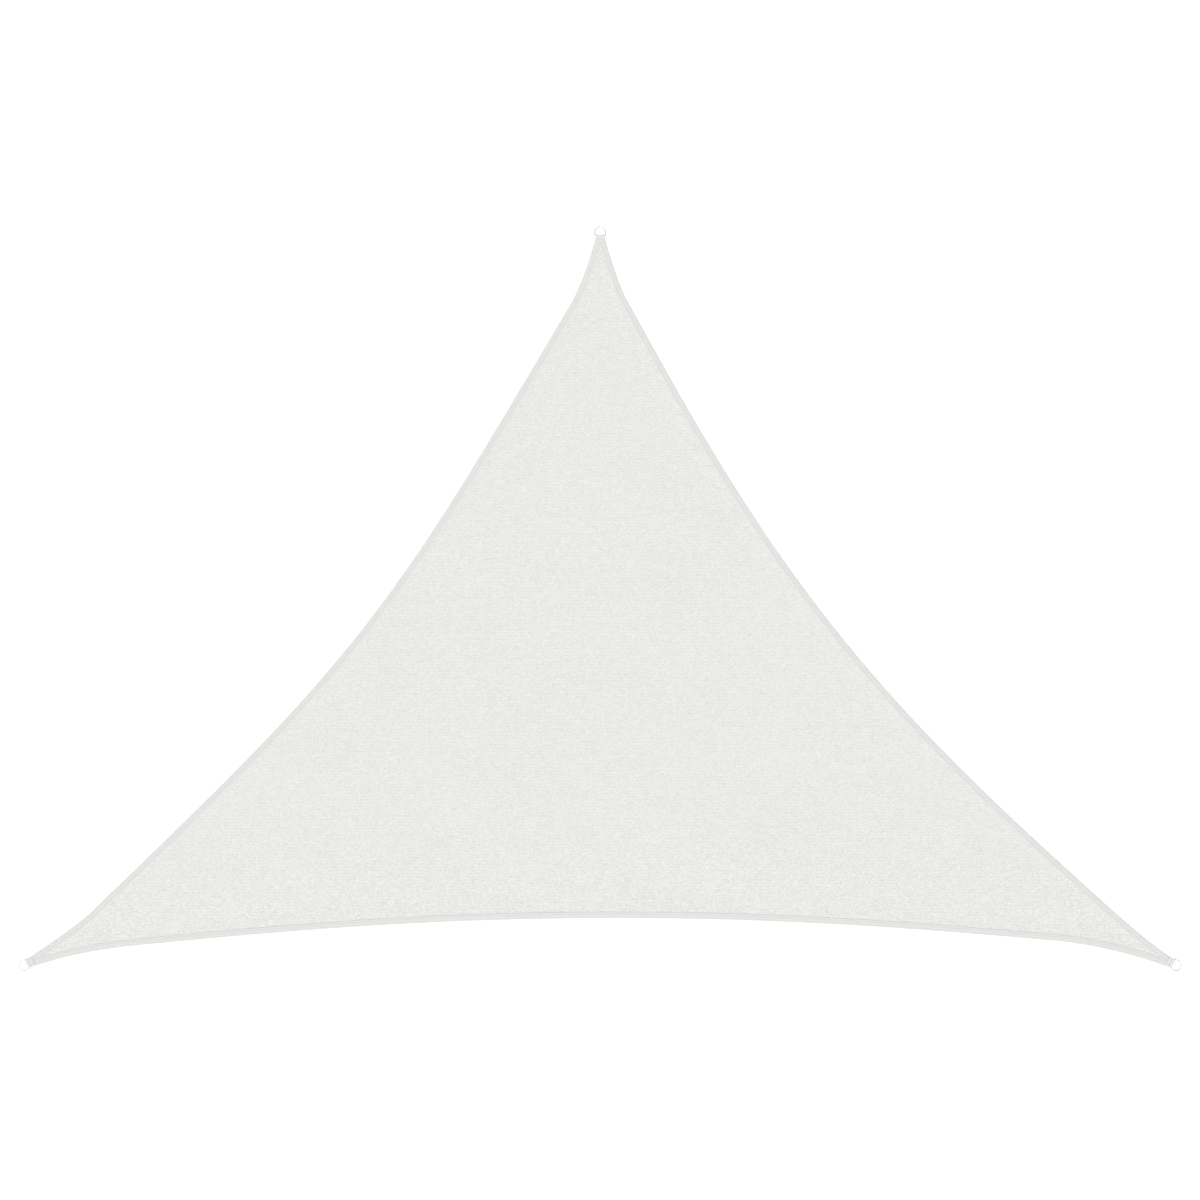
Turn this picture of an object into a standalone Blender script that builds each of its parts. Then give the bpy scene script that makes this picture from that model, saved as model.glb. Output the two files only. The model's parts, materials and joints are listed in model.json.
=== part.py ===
"""A three-cornered shade sail of knitted cloth, laid out flat, with taped edges and a D-ring at each corner.

Metres, +Z up. The sail lies on the plane z = 0 with its long side along X and its apex towards +Y.
The origin is the middle of the whole outline's box, on the surface that the sail lies on.
Each edge is a curve hollowed inwards between two corners. A woven tape is folded over it, and a short
webbing tab holds a ring of round steel wire at each corner.
"""

import math

import bmesh
import bpy
from mathutils import Vector
from mathutils.geometry import delaunay_2d_cdt

MM = 0.001

# ---------------------------------------------------------------- driving dimensions
OVERALL_WIDTH = 5.000  # between the outer ends of the two base rings
OVERALL_DEPTH = 3.202  # from the base rings' lowest point to the apex ring's outer end
BASE_PULL_ANGLE = math.radians(26.0)  # the base rings pull this far below the long side's line

CLOTH_THICKNESS = 1.2 * MM
TAPE_WIDTH = 28.0 * MM  # of each half of the folded edge tape
TAPE_THICKNESS = 1.0 * MM
WEBBING_WIDTH = 39.0 * MM
WEBBING_THICKNESS = 1.5 * MM
WEBBING_LEG = 30.0 * MM  # from the ring's bar to the webbing's cut ends

WIRE_RADIUS = 2.5 * MM
RING_WIDTH = 50.0 * MM  # over the outside of the wire
RING_BEND_RADIUS = 3.0 * MM  # of the wire's centre line, where the bar turns into the legs
RING_LEG = 17.0 * MM  # from the bar's centre line to the middle of the bow

WRAP_DOWN_LENGTH = 12.0 * MM  # behind the bar, where the upper leg comes down onto the layers
TIP_HALF_WIDTH = 19.5 * MM  # half of the straight cut across each corner
TIP_SETBACK = 4.0 * MM  # from the bar's centre line to that cut
GAP = 0.3 * MM  # between neighbouring pieces
BAR_CLEARANCE = 0.45 * MM  # between the bar and the webbing wrapped round it

# One row for each edge. Depths are measured inwards from the straight line between the edge's two
# ends. Near each end the edge flares out to the corner: that stretch has a length, the depth where
# it meets the long hollow curve, and a roundness (1 is straight, more turns sooner). The belly is the
# depth halfway along. More fullness makes the long curve deeper near its ends and no deeper halfway.
EDGES = {
    "left": {
        "corners": ("top", "left"),
        "belly": 0.255,
        "fullness": -0.005,
        "flares": ((0.295, 0.094, 1.7), (0.320, 0.091, 1.35)),
    },
    "right": {
        "corners": ("top", "right"),
        "belly": 0.264,
        "fullness": 0.0,
        "flares": ((0.257, 0.089, 1.35), (0.370, 0.083, 2.6)),
    },
    "bottom": {
        "corners": ("left", "right"),
        "belly": 0.211,
        "fullness": 0.002,
        "flares": ((0.480, 0.097, 2.25), (0.500, 0.115, 1.9)),
    },
}

# ---------------------------------------------------------------- how finely the edges are divided
CORNER_REACH = 0.400  # the closely spaced stretch at each end of an edge
CORNER_STATIONS = 26
CORNER_CROWDING = 1.6  # above 1 the stations crowd towards the tip
BELLY_STEP = 0.115
SQUARE_REACH = 0.090  # a cross-section is square to the corner's axis at the tip, and to the edge past here
CLOTH_GRID = 0.300  # spacing of the points inside the cloth
TANGENT_STEP = 1.0 * MM  # half of the stretch over which an edge's direction is taken
FOLD_STEPS = 4  # round the fold of the tape
WRAP_STEPS = 10  # of the webbing round the bar
WRAP_DOWN_STEPS = 4  # of the upper leg coming down behind the bar
BEND_STEPS = 4  # round each bend of the ring
BOW_STEPS = 16
WIRE_RESOLUTION = 4  # a wire of 12 sides

# ---------------------------------------------------------------- heights of the layers
RING_RADIUS = RING_WIDTH / 2 - WIRE_RADIUS
LAYER = TAPE_THICKNESS + GAP
CLOTH_OVER_TAPE = LAYER  # underside of the cloth above the underside of the tape
TAPE_HEIGHT = 2 * LAYER + CLOTH_THICKNESS  # folded tape, over its outside, with the cloth inside
TAB_LIFT = WEBBING_THICKNESS + GAP  # the corner's layers lie on the webbing's lower leg
TAB_REACH = WEBBING_LEG + 6.0 * MM  # how far from the tip the layers lie that high
TAB_SLOPE = 0.100  # and how long they take to come down
CLOTH_INSET = 2.0 * MM  # the cloth's edge, inside the fold of the tape
CLOTH_CREASE = TAPE_WIDTH + 0.6 * MM  # where the cloth leaves the tape
CLOTH_LANDING = TAPE_WIDTH + 55.0 * MM  # where the cloth has come down to the surface
AXIS_GAP = GAP / 2  # each tape stops this far short of the corner's axis
BAR_HEIGHT = WEBBING_THICKNESS + BAR_CLEARANCE + WIRE_RADIUS
RING_TILT = math.asin((BAR_HEIGHT - WIRE_RADIUS) / (RING_LEG + RING_RADIUS))  # the bow rests


# ---------------------------------------------------------------- corners and edges
def make_corners():
    """Place each corner's bar so that the rings' outer ends lie on the overall dimensions."""
    bow_x = OVERALL_WIDTH / 2 - RING_WIDTH / 2
    bow_y = OVERALL_DEPTH / 2 - RING_WIDTH / 2
    slope = (math.cos(BASE_PULL_ANGLE), -math.sin(BASE_PULL_ANGLE))
    pulls = {
        "top": (Vector((0.0, bow_y)), Vector((0.0, 1.0))),
        "left": (Vector((-bow_x, -bow_y)), Vector((-slope[0], slope[1]))),
        "right": (Vector((bow_x, -bow_y)), Vector(slope)),
    }
    return {
        name: {"bar": bow - RING_LEG * pull, "pull": pull}
        for name, (bow, pull) in pulls.items()
    }


def edge_depth(edge, distance, length):
    """How far the edge lies inside its straight line, at a distance along that line."""
    (reach_a, depth_a, round_a), (reach_b, depth_b, round_b) = edge["flares"]
    run = length - reach_a - reach_b
    swell = edge["belly"] - (depth_a + depth_b) / 2 + edge["fullness"]
    entry = math.pi * (swell + 3 * edge["fullness"])  # how fast the waves deepen at their ends
    if distance < reach_a:
        slope = (depth_b - depth_a + entry) / run
        return flare_depth(distance, reach_a, depth_a, round_a, slope)
    if distance > length - reach_b:
        slope = (depth_a - depth_b + entry) / run
        return flare_depth(length - distance, reach_b, depth_b, round_b, slope)
    t = (distance - reach_a) / run
    waves = swell * math.sin(math.pi * t) + edge["fullness"] * math.sin(3 * math.pi * t)
    return depth_a + (depth_b - depth_a) * t + waves


def flare_depth(distance, reach, depth, roundness, slope):
    """The depth within a flare, which meets the long curve at the same slope."""
    left_to_go = max(0.0, 1 - distance / reach)
    return slope * distance + (depth - slope * reach) * (1 - left_to_go**roundness)


def station_distances(length):
    """Distances along an edge, close together towards both of its ends."""
    near = [
        CORNER_REACH * (i / CORNER_STATIONS) ** CORNER_CROWDING
        for i in range(CORNER_STATIONS + 1)
    ]
    run = length - 2 * CORNER_REACH
    steps = round(run / BELLY_STEP)
    belly = [CORNER_REACH + run * i / steps for i in range(1, steps)]
    return near + belly + [length - d for d in reversed(near)]


def smooth(t):
    """Ease from 0 to 1."""
    t = min(1.0, max(0.0, t))
    return t * t * (3 - 2 * t)


def make_stations(edge, corners):
    """Cross-section places along one edge: point, inward direction, height, room up to the axis."""
    ends = [corners[name] for name in edge["corners"]]
    tips = [end["bar"] - TIP_SETBACK * end["pull"] for end in ends]
    across = []
    for tip, other, end in zip(tips, reversed(tips), ends):
        side = Vector((-end["pull"].y, end["pull"].x))
        if side.dot(other - tip) < 0:
            side.negate()
        across.append(side)
    first, last = (tip + TIP_HALF_WIDTH * side for tip, side in zip(tips, across))
    along = (last - first).normalized()
    length = (last - first).length
    inward = Vector((-along.y, along.x))
    if inward.dot(ends[0]["pull"]) > 0:
        inward.negate()

    def place(distance):
        return first + distance * along + edge_depth(edge, distance, length) * inward

    stations = []
    for distance in station_distances(length):
        low = max(0.0, distance - TANGENT_STEP)
        high = min(length, distance + TANGENT_STEP)
        tangent = (place(high) - place(low)).normalized()
        normal = Vector((-tangent.y, tangent.x))
        if normal.dot(inward) < 0:
            normal.negate()
        nearest = 0 if distance < length / 2 else 1
        from_tip = distance if nearest == 0 else length - distance
        turn = smooth(from_tip / SQUARE_REACH)
        normal = ((1 - turn) * -across[nearest] + turn * normal).normalized()
        point = place(distance)
        room = (point - tips[nearest]).dot(across[nearest]) / -normal.dot(across[nearest])
        lift = TAB_LIFT * (1 - smooth((from_tip - TAB_REACH) / TAB_SLOPE))
        station = {"point": point, "normal": normal, "room": room, "lift": lift, "corner": nearest}
        stations.append(station)
    return stations


# ---------------------------------------------------------------- making objects
# Screen colours from 0 to 255, roughness and metallic value of each finish.
FINISHES = {
    "cloth": ((235, 236, 231), 0.90, 0.0),
    "edge_tape": ((229, 229, 227), 0.80, 0.0),
    "webbing": ((227, 227, 225), 0.75, 0.0),
    "steel": ((216, 217, 219), 0.22, 1.0),
}


def linear(screen):
    """A linear colour value from a screen value of 0 to 255."""
    return ((screen / 255 + 0.055) / 1.055) ** 2.4


def make_material(finish, piece):
    """The finish of one piece, as a material of its own."""
    screen, roughness, metallic = FINISHES[finish]
    colour = [linear(value) for value in screen] + [1.0]
    material = bpy.data.materials.new(f"{finish}_{piece}")
    material.use_nodes = True
    shader = material.node_tree.nodes["Principled BSDF"]
    shader.inputs["Base Color"].default_value = colour
    shader.inputs["Roughness"].default_value = roughness
    shader.inputs["Metallic"].default_value = metallic
    material.diffuse_color = colour
    return material


def link_mesh(name, mesh_data, material, collection):
    """Turn a bmesh into a named object with its material."""
    mesh = bpy.data.meshes.new(name)
    mesh_data.to_mesh(mesh)
    mesh_data.free()
    mesh.materials.append(material)
    made = bpy.data.objects.new(name, mesh)
    collection.objects.link(made)
    return made


def solidify(made, thickness, offset, folded):
    """Give an open surface its thickness: offset 0 is both ways, 1 is along the normals."""
    modifier = made.modifiers.new("thickness", "SOLIDIFY")
    modifier.thickness = thickness
    modifier.offset = offset
    modifier.use_even_offset = folded


def make_strip(name, rows, thickness, material, collection):
    """A folded band: rows of points across it, joined into a surface and thickened both ways."""
    surface = bmesh.new()
    grid = [[surface.verts.new(point) for point in row] for row in rows]
    for row, following in zip(grid, grid[1:]):
        for i in range(len(row) - 1):
            surface.faces.new((row[i], row[i + 1], following[i + 1], following[i]))
    bmesh.ops.recalc_face_normals(surface, faces=surface.faces)
    made = link_mesh(name, surface, material, collection)
    solidify(made, thickness, 0.0, True)
    return made


# ---------------------------------------------------------------- the cloth
def cloth_height(station, depth):
    """Underside of the cloth at a depth inside the edge: up on the tape, then down to the surface."""
    fall = (depth - CLOTH_CREASE) / (CLOTH_LANDING - CLOTH_CREASE)
    return (CLOTH_OVER_TAPE + station["lift"]) * (1 - min(1.0, max(0.0, fall)))


def cloth_point(station, depth):
    point = station["point"] + depth * station["normal"]
    return Vector((point.x, point.y, cloth_height(station, depth)))


def walk_round(edges):
    """The stations in order round the sail: down the left edge, along the bottom, up the right."""
    return edges["left"] + edges["bottom"] + list(reversed(edges["right"]))


def inside(point, outline):
    """Whether a point lies inside a closed outline."""
    crossings = 0
    for a, b in zip(outline, outline[1:] + outline[:1]):
        if (a.y > point.y) != (b.y > point.y):
            crossings += point.x < a.x + (point.y - a.y) / (b.y - a.y) * (b.x - a.x)
    return crossings % 2 == 1


def inner_points(landing):
    """A regular grid of points on the surface, inside the line where the cloth lands."""
    columns = math.ceil(OVERALL_WIDTH / 2 / CLOTH_GRID)
    rows = math.ceil(OVERALL_DEPTH / 2 / CLOTH_GRID)
    points = []
    for i in range(-columns, columns + 1):
        for j in range(-rows, rows + 1):
            point = Vector((i * CLOTH_GRID, j * CLOTH_GRID, 0.0))
            clear = min((point.xy - line.xy).length for line in landing)
            if clear > CLOTH_GRID / 3 and inside(point, landing):
                points.append(point)
    return points


def make_cloth(edges, collection):
    """The cloth lies on the surface, and rises at its edges and corners onto the tape's lower half."""
    stations = walk_round(edges)
    outline = [cloth_point(station, CLOTH_INSET) for station in stations]
    crease = [cloth_point(s, CLOTH_CREASE) for s in stations if s["room"] > CLOTH_CREASE]
    landing = [cloth_point(s, CLOTH_LANDING) for s in stations if s["room"] > CLOTH_LANDING]
    spine = []
    for name, corner in (("left", 0), ("left", 1), ("right", 1)):
        for station in edges[name]:
            if station["corner"] == corner and station["room"] < CLOTH_LANDING:
                spine.append(cloth_point(station, station["room"]))
    points = outline + crease + landing + spine + inner_points(landing)
    rim = [(i, (i + 1) % len(outline)) for i in range(len(outline))]
    flat = [point.xy for point in points]
    places, _, faces, origins, _, _ = delaunay_2d_cdt(flat, rim, [], 1, 0.02 * MM)
    surface = bmesh.new()
    verts = [
        surface.verts.new((place.x, place.y, points[origin[0]].z))
        for place, origin in zip(places, origins)
    ]
    for face in faces:
        surface.faces.new([verts[i] for i in face])
    for face in surface.faces:
        if face.normal.z < 0:
            face.normal_flip()
    made = link_mesh("sail_cloth", surface, make_material("cloth", "sail"), collection)
    solidify(made, CLOTH_THICKNESS, 1.0, False)
    return made


# ---------------------------------------------------------------- the edge tape
def tape_row(station):
    """The folded tape's middle line in one cross-section, from the upper half's edge to the lower's."""
    half = TAPE_THICKNESS / 2
    radius = TAPE_HEIGHT / 2 - half
    reach = min(TAPE_WIDTH, station["room"] - AXIS_GAP)
    profile = [(reach, TAPE_HEIGHT - half)]
    for i in range(FOLD_STEPS + 1):
        angle = math.pi * i / FOLD_STEPS
        depth = half + radius * (1 - math.sin(angle))
        profile.append((depth, half + radius * (1 + math.cos(angle))))
    profile.append((reach, half))
    row = []
    for depth, height in profile:
        point = station["point"] + depth * station["normal"]
        row.append((point.x, point.y, height + station["lift"]))
    return row


def make_tape(name, stations, collection):
    rows = [tape_row(station) for station in stations]
    material = make_material("edge_tape", name)
    return make_strip(f"binding_{name}", rows, TAPE_THICKNESS, material, collection)


# ---------------------------------------------------------------- a corner's tab and ring
def tab_path():
    """The webbing's middle line, seen from its side: under the layers, round the bar and back."""
    half = WEBBING_THICKNESS / 2
    radius = WIRE_RADIUS + BAR_CLEARANCE + half
    upper = TAB_LIFT + TAPE_HEIGHT + GAP + half
    crown = BAR_HEIGHT + radius
    path = [(-WEBBING_LEG, half), (-WRAP_DOWN_LENGTH, half)]
    for i in range(WRAP_STEPS + 1):
        angle = math.pi * (i / WRAP_STEPS - 0.5)
        path.append((radius * math.cos(angle), BAR_HEIGHT + radius * math.sin(angle)))
    for i in range(1, WRAP_DOWN_STEPS + 1):
        t = i / WRAP_DOWN_STEPS
        path.append((-WRAP_DOWN_LENGTH * t, crown + (upper - crown) * smooth(t)))
    path.append((-WEBBING_LEG, upper))
    return path


def make_tab(name, collection):
    half = WEBBING_WIDTH / 2
    rows = [[(x, -half, z), (x, half, z)] for x, z in tab_path()]
    material = make_material("webbing", name)
    return make_strip(f"tab_{name}", rows, WEBBING_THICKNESS, material, collection)


def ring_path():
    """The wire's centre line: a straight bar across the origin, two legs and a half-round bow."""
    bend = RING_BEND_RADIUS
    side = RING_RADIUS - bend
    quarter = [math.pi / 2 * i / BEND_STEPS for i in range(BEND_STEPS + 1)]
    half_turn = [math.pi * (0.5 - i / BOW_STEPS) for i in range(BOW_STEPS + 1)]
    turn_in = [(bend - bend * math.cos(a), side + bend * math.sin(a)) for a in quarter]
    bow = [(RING_LEG + RING_RADIUS * math.cos(a), RING_RADIUS * math.sin(a)) for a in half_turn]
    return turn_in + bow + [(x, -y) for x, y in reversed(turn_in)]


def make_ring(name, collection):
    """A tube along the wire's centre line, tilted about its bar so that the bow rests."""
    curve = bpy.data.curves.new(f"ring_{name}", "CURVE")
    curve.dimensions = "3D"
    curve.bevel_depth = WIRE_RADIUS
    curve.bevel_resolution = WIRE_RESOLUTION
    spline = curve.splines.new("POLY")
    path = ring_path()
    spline.points.add(len(path) - 1)
    for point, (x, y) in zip(spline.points, path):
        point.co = (x, y, 0.0, 1.0)
    spline.use_cyclic_u = True
    curve.materials.append(make_material("steel", name))
    made = bpy.data.objects.new(f"ring_{name}", curve)
    made.location.z = BAR_HEIGHT
    made.rotation_euler.y = RING_TILT
    collection.objects.link(made)
    return made


def make_corner(name, corner, collection):
    """An empty at the bar, turned to the pull's direction, carries the tab and the ring."""
    holder = bpy.data.objects.new(f"corner_{name}", None)
    holder.location = (corner["bar"].x, corner["bar"].y, 0.0)
    holder.rotation_euler.z = math.atan2(corner["pull"].y, corner["pull"].x)
    collection.objects.link(holder)
    for made in (make_tab(name, collection), make_ring(name, collection)):
        made.parent = holder


def main():
    for old in list(bpy.data.objects):
        bpy.data.objects.remove(old, do_unlink=True)
    collection = bpy.data.collections.new("shade_sail")
    bpy.context.scene.collection.children.link(collection)

    corners = make_corners()
    edges = {name: make_stations(edge, corners) for name, edge in EDGES.items()}
    make_cloth(edges, collection)
    for name, stations in edges.items():
        make_tape(name, stations, collection)
    for name, corner in corners.items():
        make_corner(name, corner, collection)


main()
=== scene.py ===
"""Fine forms and finishes of a three-cornered shade sail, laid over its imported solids.

Metres, +Z up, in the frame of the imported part. The sail lies on the plane z = 0 with its long side
along X and its apex towards +Y. Each operator makes one kind of piece: the knitted sheet, the edge
tapes and their seams, the webbing tabs and their bar tacks, the rings, and the stage below them.
"""

import json
import math
from typing import NamedTuple

import bmesh
import bpy
from bpy.props import FloatProperty, FloatVectorProperty, IntProperty, PointerProperty
from mathutils import Matrix, Vector
from mathutils.geometry import delaunay_2d_cdt

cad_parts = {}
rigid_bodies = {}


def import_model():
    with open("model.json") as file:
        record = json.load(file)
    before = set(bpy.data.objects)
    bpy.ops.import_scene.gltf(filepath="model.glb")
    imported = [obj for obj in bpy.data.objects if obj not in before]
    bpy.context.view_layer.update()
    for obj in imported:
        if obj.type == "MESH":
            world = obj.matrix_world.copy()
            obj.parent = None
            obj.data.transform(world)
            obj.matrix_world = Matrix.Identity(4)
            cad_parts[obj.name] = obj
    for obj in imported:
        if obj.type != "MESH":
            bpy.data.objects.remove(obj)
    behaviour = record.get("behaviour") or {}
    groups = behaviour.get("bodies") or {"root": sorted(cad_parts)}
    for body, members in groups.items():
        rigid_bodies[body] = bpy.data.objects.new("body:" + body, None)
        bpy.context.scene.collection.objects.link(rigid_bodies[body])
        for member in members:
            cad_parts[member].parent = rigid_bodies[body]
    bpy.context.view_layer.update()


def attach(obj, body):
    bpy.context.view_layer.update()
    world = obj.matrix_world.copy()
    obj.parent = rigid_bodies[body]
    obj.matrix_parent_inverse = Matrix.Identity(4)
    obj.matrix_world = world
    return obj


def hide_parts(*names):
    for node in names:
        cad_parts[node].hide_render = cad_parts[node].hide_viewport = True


bl_info = {
    "name": "Shade sail",
    "version": (1, 0, 0),
    "blender": (4, 5, 0),
    "location": "3D View > Sidebar > Sail",
    "description": "Makes the cloth, edge tapes, webbing tabs, rings and stitching of a shade sail",
    "category": "Add Mesh",
}

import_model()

MM = 0.001
TURN = 2 * math.pi
WHITE = (1.0, 1.0, 1.0, 1.0)

# One row for each edge. Depths are measured inwards from the straight line between the edge's two
# ends. Near each end the edge flares out to the corner: that stretch has a length, the depth where
# it meets the long hollow curve, and a roundness (1 is straight, more turns sooner). The belly is the
# depth halfway along. More fullness makes the long curve deeper near its ends and no deeper halfway.
EDGES = {
    "left": {
        "corners": ("top", "left"),
        "belly": 0.255,
        "fullness": -0.005,
        "flares": ((0.295, 0.094, 1.7), (0.320, 0.091, 1.35)),
    },
    "right": {
        "corners": ("top", "right"),
        "belly": 0.264,
        "fullness": 0.0,
        "flares": ((0.257, 0.089, 1.35), (0.370, 0.083, 2.6)),
    },
    "bottom": {
        "corners": ("left", "right"),
        "belly": 0.211,
        "fullness": 0.002,
        "flares": ((0.480, 0.097, 2.25), (0.500, 0.115, 1.9)),
    },
}

# ---------------------------------------------------------------- fits between the pieces
GAP = 0.3 * MM  # between neighbouring pieces
BAR_CLEARANCE = 0.45 * MM  # between the ring's bar and the webbing wrapped round it
TIP_HALF_WIDTH = 19.5 * MM  # half of the straight cut across each corner
TIP_SETBACK = 4.0 * MM  # from the bar's centre line to that cut
WRAP_DOWN_LENGTH = 12.0 * MM  # behind the bar, where the upper leg comes down onto the layers
TAB_MARGIN = 6.0 * MM  # past the webbing's cut end, before the layers begin to come down
TAB_SLOPE = 0.100  # over which the layers come down from the webbing's lower leg
WEBBING_CROWN = 0.25 * MM  # how far the webbing's upper leg stands up along its middle
CLOTH_INSET = 2.0 * MM  # the cloth's edge, inside the fold of the tape
CLOTH_MARGIN = 0.6 * MM  # past the tape, before the cloth begins to come down
CLOTH_LANDING = 55.0 * MM  # over which it comes down to the surface
TAPE_ROUNDING = 0.2 * MM  # of the tape's cut edges
WEBBING_ROUNDING = 0.4 * MM
RING_BEND_RADIUS = 3.0 * MM  # of the wire's centre line, where the bar turns into the legs

# ---------------------------------------------------------------- sewing
TACK_PLACES = (-12.5 * MM, -26.0 * MM)  # from the ring's bar
TACK_MARGIN = 2.0 * MM  # from a bar tack's end to the webbing's side
TACK_THREAD = 0.75  # thickness of a bar tack's thread, as a share of the seams'
THREAD_RISE = 0.25 * MM  # of a stitch's centre line above the face that it lies on
THREAD_SINK = 0.10 * MM  # of a stitch's centre line into the underside, which the sail's weight presses
STITCH_TAPER = 1.6  # length of a stitch's drawn-in end, in radii of the thread
STITCH_DIP = 0.5  # of that end, in radii
STITCH_TIP = 0.45  # its thickness, as a share of the thread's

# ---------------------------------------------------------------- how finely things are divided
CORNER_REACH = 0.300  # the closely spaced stretch at each end of an edge
CORNER_STATIONS = 44
CORNER_CROWDING = 1.3  # above 1 the stations crowd towards the tip
STATION_STEP = 9.0 * MM
SQUARE_REACH = 0.090  # cross-sections turn from square to the corner's axis to square to the edge
TANGENT_STEP = 1.0 * MM
CLOTH_ROWS = [depth * MM for depth in (2, 14, 24, 30, 37, 46, 57, 70, 86, 106, 130)]
ROW_MARGIN = 1.0 * MM  # a row stops this far from the corner's axis
CLOTH_GRID = 24.0 * MM  # spacing of the points inside the last row
DEPTH_SAMPLING = 3  # one in so many stations serves to measure those points' depth
TAPE_STEPS = 12  # across each half of the tape
SEAM_MARGIN = 1.1 * MM  # no other step lies so close to a seam
FOLD_STEPS = 8
LEG_STEPS = 8  # along the level stretch of each leg of webbing, and down the upper leg's slope
HEEL_STEPS = 3  # along the lower leg, below that slope
WRAP_STEPS = 20
SIDE_STEPS = 8  # from the webbing's middle to its side
STITCH_SIDES = 6
END_FACING = 0.9  # along the stitch, of the normal of the face at its end
WIRE_SIDES = 24
BEND_STEPS = 8
BOW_STEPS = 40
SAME_PLACE = 0.02 * MM  # points closer than this are one
SMOOTH_ANGLE = math.radians(60.0)  # faces that meet more flatly than this are shaded as one
BAND_SMOOTH_ANGLE = math.radians(40.0)  # on the tape and the webbing

# ---------------------------------------------------------------- unevenness of the cloth
# Soft waves over the whole sheet: length, direction in degrees, start of the wave, share of the height.
SHEET_WAVES = (
    (0.71, 12, 0.4, 0.30),
    (0.46, 81, 2.1, 0.22),
    (0.93, -38, 4.0, 0.28),
    (0.37, 47, 5.2, 0.20),
)
# Gathers along the seams: length, start of the wave.
GATHERS = ((0.037, 0.0), (0.061, 1.9), (0.097, 4.2))
GATHER_PEAK = 42.0 * MM  # inside the edge, where the gathers stand highest
GATHER_FADE = 90.0 * MM
GATHER_SWELL = 0.83  # length along the edge over which they grow and shrink
GATHER_CHANGE = 0.45  # by how much of their height
AXIS_MARGIN = 30.0 * MM  # beside a corner's axis, where they die away
# The waves start inside the edge and grow to their full height.
WAVE_START = 35.0 * MM
WAVE_GROWTH = 0.160
# Tension rays fan out from each corner.
RAY_FREQUENCY = 15  # waves in a whole turn
RAY_GROWTH = 0.30
RAY_REACH = 0.75
RAY_SHARE = 0.5  # of the waves' height


def screen(*levels):
    """A linear colour from screen levels of 0 to 255."""
    return [((level / 255 + 0.055) / 1.055) ** 2.4 for level in levels]


# ---------------------------------------------------------------- what a user would change
def length(name, description, default):
    """A length that a user may change, in metres."""
    return FloatProperty(
        name=name,
        description=description,
        default=default,
        min=0.0,
        precision=4,
        subtype="DISTANCE",
        unit="LENGTH",
    )


def colour(name, description, levels):
    """A colour that a user may change."""
    return FloatVectorProperty(
        name=name,
        description=description,
        default=screen(*levels),
        min=0.0,
        max=1.0,
        subtype="COLOR",
    )


class SailSizes(bpy.types.PropertyGroup):
    """Sizes of the sail's pieces"""

    overall_width: length("Width", "Between the outer ends of the base rings", 5.000)
    overall_depth: length("Depth", "From the base rings to the apex ring's outer end", 3.202)
    pull_angle: FloatProperty(
        name="Pull of the base corners",
        description="How far the base rings pull below the long side's line",
        default=math.radians(26.0),
        subtype="ANGLE",
        unit="ROTATION",
    )
    cloth_thickness: length("Cloth thickness", "Thickness of the knitted cloth", 1.2 * MM)
    tape_width: length("Tape width", "Width of each half of the folded tape", 28.0 * MM)
    tape_thickness: length("Tape thickness", "Thickness of the edge tape", 1.0 * MM)
    outer_seam: length("Outer seam", "Distance of the outer seam from the edge", 6.5 * MM)
    inner_seam: length("Inner seam", "Distance of the inner seam from the edge", 19.5 * MM)
    stitch_pitch: length("Stitch pitch", "Distance from one seam stitch to the next", 6.0 * MM)
    stitch_length: length("Stitch length", "Length of one seam stitch", 5.0 * MM)
    thread_radius: length("Thread radius", "Half of the thread's thickness", 0.45 * MM)
    webbing_width: length("Webbing width", "Width of the corner webbing", 39.0 * MM)
    webbing_thickness: length("Webbing thickness", "Thickness of the corner webbing", 1.5 * MM)
    webbing_leg: length("Webbing leg", "From the ring's bar to the webbing's cut ends", 30.0 * MM)
    tack_width: length("Bar tack width", "Height of the zigzag of a bar tack", 3.2 * MM)
    tack_pitch: length("Bar tack pitch", "Distance from one zigzag to the next", 1.25 * MM)
    wire_radius: length("Wire radius", "Half of the ring wire's thickness", 2.5 * MM)
    ring_width: length("Ring width", "Over the outside of the wire", 50.0 * MM)
    ring_leg: length("Ring leg", "From the bar to the middle of the bow", 17.0 * MM)
    wave_height: length("Wave height", "Height of the soft waves in the cloth", 3.0 * MM)
    gather_height: length("Gather height", "Height of the gathers along the seams", 1.0 * MM)
    pillow_height: length("Pillow height", "How far the tape bulges between its seams", 0.45 * MM)


class SailFinish(bpy.types.PropertyGroup):
    """Colours and patterns of the sail's finishes"""

    cloth_colour: colour("Cloth", "Colour of the knitted cloth", (238.8, 239.6, 234.7))
    tape_colour: colour("Edge tape", "Colour of the folded edge tape", (235.6, 235.7, 234.4))
    webbing_colour: colour("Webbing", "Colour of the corner webbing", (243.5, 243.5, 243))
    thread_colour: colour("Thread", "Colour of the sewing thread", (226, 226, 224))
    steel_colour: colour("Steel", "Colour of the ring's steel", (232, 233, 235))
    floor_colour: colour("Floor", "Colour of the floor", (248, 248, 248))
    wale_pitch: length("Wale pitch", "Distance between the knit's upright chains", 3.6 * MM)
    course_pitch: length("Course pitch", "Distance between the knit's laid-in yarns", 2.76 * MM)
    dash_wales: IntProperty(
        name="Dash length",
        description="Number of chains that one lighter or darker dash spans",
        default=2,
        min=1,
    )
    grain: FloatProperty(
        name="Grain",
        description="Difference in lightness between the dashes",
        default=0.165,
        min=0.0,
        max=1.0,
        subtype="FACTOR",
    )


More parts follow.
